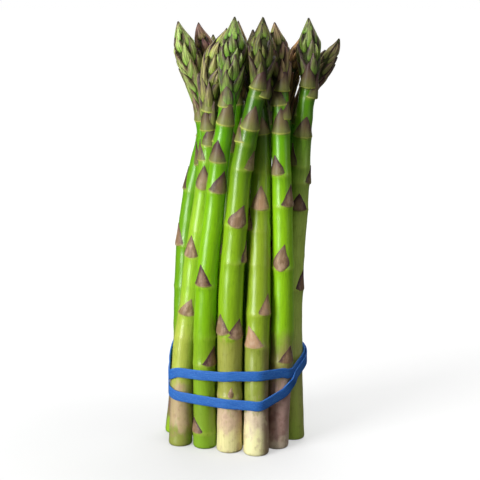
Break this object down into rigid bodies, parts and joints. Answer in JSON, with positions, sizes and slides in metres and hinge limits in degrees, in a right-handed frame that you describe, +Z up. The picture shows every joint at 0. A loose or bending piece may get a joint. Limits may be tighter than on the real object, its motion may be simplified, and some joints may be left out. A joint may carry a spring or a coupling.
{
  "type": "bundle of asparagus",
  "caption": "Upright bundle of green asparagus spears with leaning, bract-covered heads, standing on their cut ends and tied low down by a blue rubber band.",
  "frame": {"origin": "middle of the bundle's outline at the level of the cut ends it stands on", "axes": "+Z up along the spears, -Y towards the viewer of the picture, +X to that viewer's right"},
  "size_m": [0.0927, 0.0583, 0.225],
  "materials": {
    "asparagus": "satin",
    "band": "matte"
  },
  "bodies": {
    "root": {"spear_01": "asparagus", "spear_02": "asparagus", "spear_03": "asparagus", "spear_04": "asparagus", "spear_05": "asparagus", "spear_06": "asparagus", "spear_07": "asparagus", "spear_08": "asparagus", "spear_09": "asparagus", "spear_10": "asparagus", "spear_11": "asparagus", "spear_12": "asparagus", "spear_13": "asparagus", "spear_14": "asparagus", "rubber_band": "band"}
  },
  "joints": []
}
